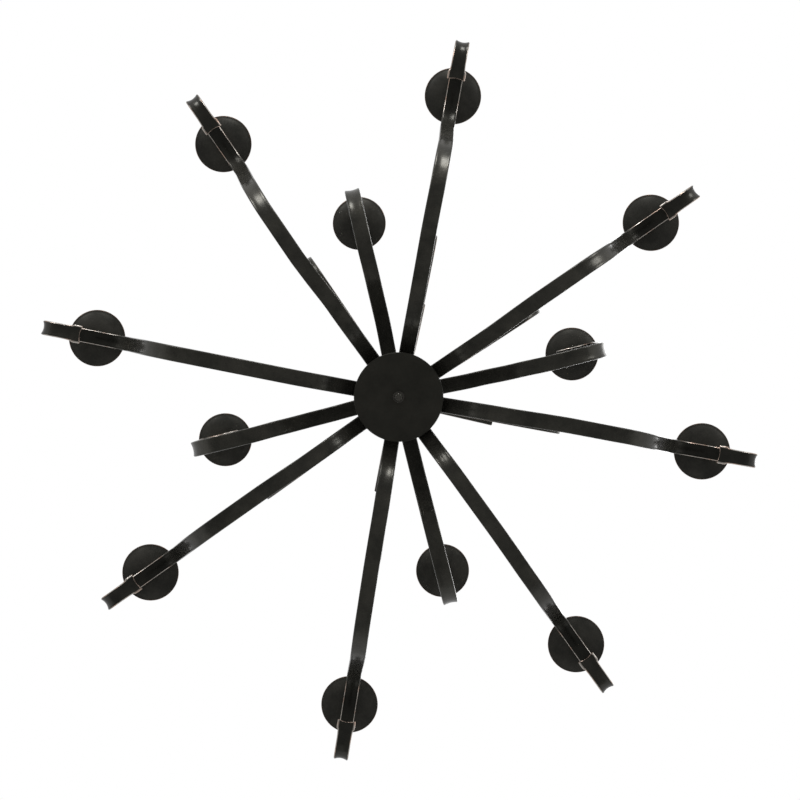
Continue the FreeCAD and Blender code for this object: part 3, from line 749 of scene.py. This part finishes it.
plate_outline += round_points(PLATE_RADIUS - PLATE_ROUND, rim_height, PLATE_ROUND, -90, 90, 10, 0.55)
plate_outline.append((TUBE_HOLE, low[2] + 2 * PLATE_ROUND, 0.0))
plate_mesh = spun_piece("hub_plate", plate_outline, 128)
add_piece("hub_plate", plate_mesh, HUB_BRONZE, nodes=["bottom_plate"])

low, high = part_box("bottom_finial")
BALL_RADIUS = 5.6 * MM
ball_z = low[2] + BALL_RADIUS
FINIAL_BRONZE = oiled_bronze(
    "Finial bronze", (0.046, 0.044, 0.039), (0.076, 0.072, 0.063), (0.30, 0.20, 0.14),
    (0.38, 0.16, 0.08), 0.15,
)
finial_outline = round_points(0.0, ball_z, BALL_RADIUS, -90, 52, 16, 0.0)
finial_outline += [           # the neck, and the washer that bears on the plate
    (3.1 * MM, ball_z + 6.4 * MM, 0.0),
    (4.6 * MM, ball_z + 7.3 * MM, 0.0),
    (7.0 * MM, ball_z + 7.7 * MM, 0.2),
    (7.2 * MM, ball_z + 8.55 * MM, 0.2),
    (0, ball_z + 8.55 * MM, 0.0),
]
finial_mesh = spun_piece("ball_finial", finial_outline, 48, closed=False)
add_piece("ball_finial", finial_mesh, FINIAL_BRONZE, nodes=["bottom_finial"])


GROOVE = [(-1.1, 0.0), (-0.7, 0.35), (0.0, 0.6), (0.7, 0.35), (1.1, 0.0)]      # (along, depth) in mm


def turned_ring(name, node, inside, ease, grooves=(), steps=96):
    """A ring that fills its node's box, with eased corners and shallow turned grooves outside."""
    low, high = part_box(node)
    outside = (high[0] - low[0]) / 2
    outline = round_points(outside - ease, low[2] + ease, ease, -90, 0, 4, 0.7)
    for share in grooves:
        middle = low[2] + (high[2] - low[2]) * share
        for offset, depth in GROOVE:
            outline.append((outside - depth * MM, middle + offset * MM, 0.4))
    outline += round_points(outside - ease, high[2] - ease, ease, 0, 90, 4, 0.7)
    outline += round_points(inside + ease / 2, high[2] - ease / 2, ease / 2, 90, 180, 3, 0.3)
    outline += round_points(inside + ease / 2, low[2] + ease / 2, ease / 2, 180, 270, 3, 0.3)
    add_piece(name, spun_piece(name, outline, steps), HUB_BRONZE, nodes=[node])


low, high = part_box("hub_cup")
cup_low, cup_high = low[2], high[2]
CUP_FOOT = 30.0 * MM
CUP_MOUTH = 41.0 * MM
CUP_WALL = 2.0 * MM
CUP_BULGE = 2.2 * MM
cup_outline = [(TUBE_HOLE, cup_low, 0.0), (CUP_FOOT - 1.5 * MM, cup_low, 0.0)]
CUP_STEPS = 10
for i in range(CUP_STEPS + 1):
    share = i / CUP_STEPS
    bulge = CUP_BULGE * math.sin(math.pi * share)
    height = cup_low + 1.5 * MM + (cup_high - cup_low - 2.5 * MM) * share
    cup_outline.append((CUP_FOOT + (CUP_MOUTH - CUP_FOOT) * share + bulge * (1 - share), height, 0.3))
cup_outline += round_points(CUP_MOUTH - CUP_WALL / 2, cup_high - CUP_WALL / 2, CUP_WALL / 2, 0, 180, 6, 0.8)
for i in range(CUP_STEPS, -1, -1):
    share = i / CUP_STEPS
    bulge = CUP_BULGE * math.sin(math.pi * share)
    height = cup_low + CUP_WALL + (cup_high - cup_low - CUP_WALL - 2.5 * MM) * share
    reach = CUP_FOOT - CUP_WALL + (CUP_MOUTH - CUP_FOOT) * share + bulge * (1 - share)
    cup_outline.append((reach, height, 0.0))
cup_outline.append((TUBE_HOLE, cup_low + CUP_WALL, 0.0))
add_piece("spun_cup", spun_piece("spun_cup", cup_outline, 96), HUB_BRONZE, nodes=["hub_cup"])
DRUM_INSIDE = 39.0 * MM
turned_ring("lower_plate", "lower_clamp_plate", TUBE_HOLE, 1.4 * MM)
turned_ring("drum", "wiring_drum", DRUM_INSIDE, 0.9 * MM, grooves=(0.18, 0.82))
turned_ring("upper_plate", "upper_clamp_plate", TUBE_HOLE, 1.4 * MM)

# ---- Column -----------------------------------------------------------------------------------
# A tube on the upper clamping plate carries the crown scrolls between two flat bands. A turned cap
# closes it, and a slim cover hides the centre tube up to the hanging eye.
COLUMN_INSIDE = 23.2 * MM
BAND_INSIDE = 32.7 * MM
turned_ring("column", "column_body", COLUMN_INSIDE, 0.8 * MM, grooves=(0.02, 0.035))
turned_ring("band_low", "lower_band", BAND_INSIDE, 1.0 * MM, grooves=(0.22, 0.78))
turned_ring("band_high", "upper_band", BAND_INSIDE, 1.0 * MM, grooves=(0.22, 0.78))
turned_ring("rod_sleeve", "rod_cover", TUBE_HOLE, 0.8 * MM, grooves=(0.03, 0.97), steps=48)
low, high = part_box("column_cap")
cap_low, cap_high = low[2], high[2]
CAP_RADIUS = 26.7 * MM
CAP_NECK = 11.0 * MM
CAP_RIM = 4.0 * MM
CAP_ROUND = 1.0 * MM
CAP_BEAD = 1.2 * MM
CAP_HOLLOW = 1.5 * MM
cap_outline = [(TUBE_HOLE, cap_low, 0.0)]
cap_outline += round_points(CAP_RADIUS - CAP_ROUND, cap_low + CAP_ROUND, CAP_ROUND, -90, 0, 4, 0.6)
cap_outline += round_points(CAP_RADIUS - CAP_ROUND, cap_low + CAP_RIM - CAP_ROUND, CAP_ROUND, 0, 80, 4, 0.8)
CAP_STEPS = 12
for i in range(1, CAP_STEPS + 1):      # a hollow-sided dome up to a small bead at the neck
    share = i / CAP_STEPS
    reach = CAP_RADIUS - 1.6 * MM + (CAP_NECK - CAP_RADIUS + 1.6 * MM) * share
    height = cap_low + CAP_RIM + (cap_high - cap_low - CAP_RIM - 2.4 * MM) * share
    cap_outline.append((reach - CAP_HOLLOW * math.sin(2 * math.pi * share), height, 0.1))
cap_outline += round_points(CAP_NECK - 0.2 * MM, cap_high - CAP_BEAD, CAP_BEAD, -60, 90, 6, 0.8)
cap_outline.append((TUBE_HOLE, cap_high, 0.0))
cap_mesh = spun_piece("turned_cap", cap_outline, 64)
add_piece("turned_cap", cap_mesh, HUB_BRONZE, nodes=["column_cap"])
steel, nodes, links, shader = mottled_material(
    "Tube steel", 90.0, 4.0, (0.30, 0.29, 0.28), (0.42, 0.41, 0.39),
)
shader.inputs["Metallic"].default_value = 1.0
vary_roughness(nodes, links, shader, 300.0, 3.0, 0.3, 0.45)


def finish_node(node, material):
    """Gives a solid that is shown as it is its finish."""
    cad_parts[node].data.materials.clear()
    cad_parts[node].data.materials.append(material)


finish_node("centre_tube", steel)

# ---- Hanging eye ------------------------------------------------------------------------------
# A cast loop of oval section on a boss that screws on to the centre tube. A chain's last link passes
# through it.
EYE_BORE = 10.0 * MM
EYE_RADIUS = 15.5 * MM
EYE_THICK = 6.0 * MM
BOSS_RADIUS = 10.0 * MM
BOSS_NECK = 4.6 * MM
BOSS_TOP = -12.6 * MM
BOSS_SHOULDER = -25.0 * MM
BOSS_ROUND = 1.2 * MM
SOCKET_RADIUS = 6.6 * MM
SOCKET_TOP = -26.0 * MM
low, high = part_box("hanging_eye")
boss_low = low[2]
boss_outline = [(0, SOCKET_TOP, 0.0), (SOCKET_RADIUS, SOCKET_TOP, 0.0), (SOCKET_RADIUS, boss_low, 0.0)]
boss_outline += round_points(BOSS_RADIUS - BOSS_ROUND, boss_low + BOSS_ROUND, BOSS_ROUND, -90, 0, 4, 0.7)
boss_outline += round_points(BOSS_RADIUS - BOSS_ROUND, BOSS_SHOULDER, BOSS_ROUND, 0, 60, 4, 0.7)
boss_outline += [             # the boss draws in to the loop
    (7.4 * MM, BOSS_SHOULDER + 3.5 * MM, 0.1),
    (5.6 * MM, BOSS_SHOULDER + 7.5 * MM, 0.0),
    (BOSS_NECK, BOSS_TOP, 0.0),
    (0, BOSS_TOP, 0.0),
]
boss_mesh = spun_piece("eye_boss", boss_outline, 48, closed=False)
bm = bmesh.new()
bm.from_mesh(boss_mesh)
edge_layer = bm.verts.layers.float["edge"]
section = []
SECTION_STEPS = 20
for i in range(SECTION_STEPS):
    angle = 2 * math.pi * i / SECTION_STEPS
    reach = (EYE_RADIUS + EYE_BORE) / 2 + (EYE_RADIUS - EYE_BORE) / 2 * math.cos(angle)
    vert = bm.verts.new((reach, EYE_THICK / 2 * math.sin(angle), 0))
    vert[edge_layer] = 0.75 * max(0.0, math.cos(angle)) ** 3
    section.append(vert)
edges = [bm.edges.new((a, b)) for a, b in zip(section, section[1:] + section[:1])]
bmesh.ops.spin(
    bm, geom=section + edges, cent=(0, 0, 0), axis=(0, 1, 0), angle=2 * math.pi, steps=72, use_merge=True,
)
bmesh.ops.remove_doubles(bm, verts=bm.verts[:], dist=1e-6)
bmesh.ops.recalc_face_normals(bm, faces=bm.faces[:])
for face in bm.faces:
    face.smooth = True
bm.to_mesh(boss_mesh)
bm.free()
add_piece("cast_eye", boss_mesh, HUB_BRONZE, nodes=["hanging_eye"])

# ---- Lamp fittings ----------------------------------------------------------------------------
# Moulded black sockets inside the sleeves, on threaded nipples that come up through the arms and
# are peened flush in the hollow below.
moulding, nodes, links, shader = mottled_material(
    "Socket moulding", 120.0, 3.0, (0.02, 0.02, 0.02), (0.035, 0.034, 0.033),
)
shader.inputs["Roughness"].default_value = 0.5
finish_node("lamp_sockets", moulding)
finish_node("lamp_nipples", HUB_BRONZE)

# ---- Floor, light and camera ------------------------------------------------------------------
# A pale floor far below, three soft boxes round the photograph's upper side, a weak fill, a lamp
# overhead, a white surround, and a camera almost on the axis, looking straight up.
SIDE = Vector((-0.172, -0.985, 0.0))      # the photograph's upward direction
ACROSS = Vector((0.985, -0.172, 0.0))
MIDDLE = Vector((0, 0, -0.45))
FLOOR_Z = -5.3
FLOOR_HALF = 45.0
bm = bmesh.new()
bmesh.ops.create_grid(
    bm, x_segments=8, y_segments=8, size=FLOOR_HALF, matrix=Matrix.Translation((0, 0, FLOOR_Z)),
)
floor_mesh = bpy.data.meshes.new("floor")
bm.to_mesh(floor_mesh)
bm.free()
floor = bpy.data.objects.new("floor", floor_mesh)
bpy.context.scene.collection.objects.link(floor)
floor_paint, nodes, links, shader = mottled_material(
    "Floor paint", 1.5, 2.0, (0.80, 0.80, 0.795), (0.84, 0.84, 0.835),
)
shader.inputs["Roughness"].default_value = 0.8
floor_mesh.materials.append(floor_paint)


def soft_lamp(name, place, size, watts):
    """A soft box of size (width, height) that faces the middle of the chandelier."""
    data = bpy.data.lights.new(name, "AREA")
    data.shape = "RECTANGLE"
    data.size, data.size_y = size
    data.energy = watts
    light = bpy.data.objects.new(name, data)
    bpy.context.scene.collection.objects.link(light)
    light.location = place
    light.rotation_euler = (MIDDLE - place).to_track_quat("-Z", "Y").to_euler()


BOX_REACH = 2.6
BOX_DROP = Vector((0, 0, 0.25))
BOX_SIZE = (0.8, 0.6)
WIDE_SIZE = (2.5, 2.5)
for name, angle, watts in (   # angles in the photograph, in degrees from its right towards its top
    ("soft_box", 86.0, 30),
    ("soft_box_left", 128.0, 24),
    ("soft_box_right", 36.0, 14),
):
    turned = math.radians(angle)
    out = ACROSS * math.cos(turned) + SIDE * math.sin(turned)
    soft_lamp(name, MIDDLE + out * BOX_REACH - BOX_DROP, BOX_SIZE, watts)
soft_lamp("fill", MIDDLE - SIDE * 3.0 + Vector((0, 0, -1.2)), WIDE_SIZE, 4)
soft_lamp("overhead", MIDDLE + ACROSS * 1.5 + Vector((0, 0, 3.2)), WIDE_SIZE, 60)

WORLD_LIGHT = 0.36            # what the surround lends to the object; it is seen and mirrored as white
WORLD_SEEN = 1.0
world = bpy.data.worlds.new("Surround")
bpy.context.scene.world = world
world.use_nodes = True
nodes, links = world.node_tree.nodes, world.node_tree.links
paths = nodes.new("ShaderNodeLightPath")
either = nodes.new("ShaderNodeMath")
either.operation = "MAXIMUM"
links.new(paths.outputs["Is Camera Ray"], either.inputs[0])
links.new(paths.outputs["Is Glossy Ray"], either.inputs[1])
any_of = nodes.new("ShaderNodeMath")
any_of.operation = "MAXIMUM"
links.new(either.outputs["Value"], any_of.inputs[0])
links.new(paths.outputs["Is Transmission Ray"], any_of.inputs[1])
strength = nodes.new("ShaderNodeMapRange")
links.new(any_of.outputs["Value"], strength.inputs["Value"])
strength.inputs["To Min"].default_value = WORLD_LIGHT
strength.inputs["To Max"].default_value = WORLD_SEEN
surround = nodes["Background"]
surround.inputs["Color"].default_value = (1.0, 1.0, 1.0, 1.0)
links.new(strength.outputs["Result"], surround.inputs["Strength"])

CAMERA_Z = -3.450
LENS = 100.5
SENSOR = 36.0
camera_data = bpy.data.cameras.new("camera")
camera_data.lens = LENS
camera_data.sensor_width = SENSOR
camera_data.clip_end = 60.0
camera = bpy.data.objects.new("camera", camera_data)
bpy.context.scene.collection.objects.link(camera)
AIM_X = 1.3                   # the axis lands this many pixels left of and above the frame's middle
AIM_Y = 2.7
FRAME_PIXELS = 800
pixel = SENSOR / LENS / FRAME_PIXELS * (MIDDLE.z - CAMERA_Z)
offset = ACROSS * AIM_X * pixel - SIDE * AIM_Y * pixel
turn = Matrix((ACROSS, SIDE, -Vector((0, 0, 1)))).transposed()
camera.matrix_world = Matrix.Translation(Vector((0, 0, CAMERA_Z)) + offset) @ turn.to_4x4()
bpy.context.scene.camera = camera
bpy.context.scene.view_settings.view_transform = "Standard"
